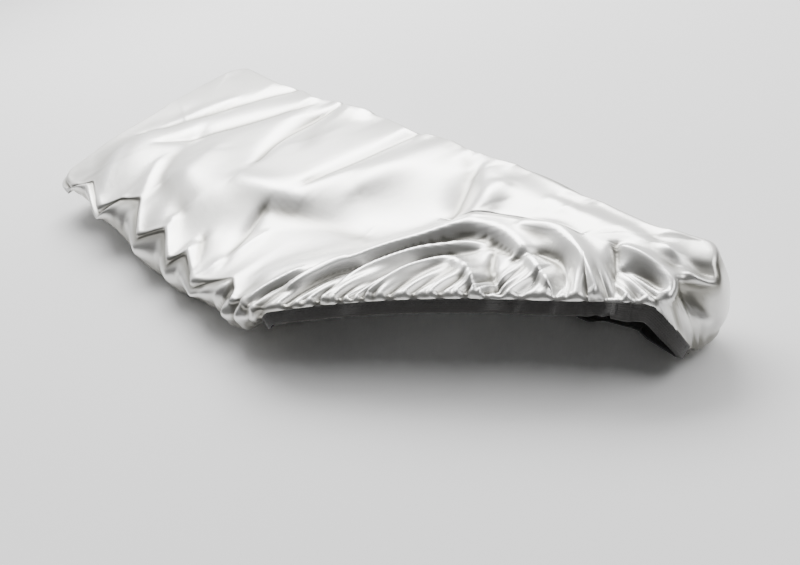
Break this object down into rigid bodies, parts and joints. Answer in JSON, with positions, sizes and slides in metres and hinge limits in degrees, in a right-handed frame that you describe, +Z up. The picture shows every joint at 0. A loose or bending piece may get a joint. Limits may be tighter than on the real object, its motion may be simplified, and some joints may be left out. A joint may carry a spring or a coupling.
{
  "type": "keyboard dust cover",
  "caption": "Fitted dust cover for an electronic keyboard, silver coated stretch cloth gathered by an elastic binding, with one front corner pulled back.",
  "frame": {"origin": "under the middle of the cover's top, where the top of the covered instrument meets the cloth", "axes": "+X along the length to the end with the pulled back corner, +Y from the front to the back, +Z up"},
  "size_m": [0.7842, 0.273, 0.0782],
  "materials": {
    "silver_cloth": "satin metallic coated stretch cloth, softly creased",
    "charcoal_elastic": "matt ribbed elastic tape"
  },
  "bodies": {
    "root": {"cover_cloth": "silver_cloth", "elastic_binding": "charcoal_elastic"}
  },
  "joints": []
}
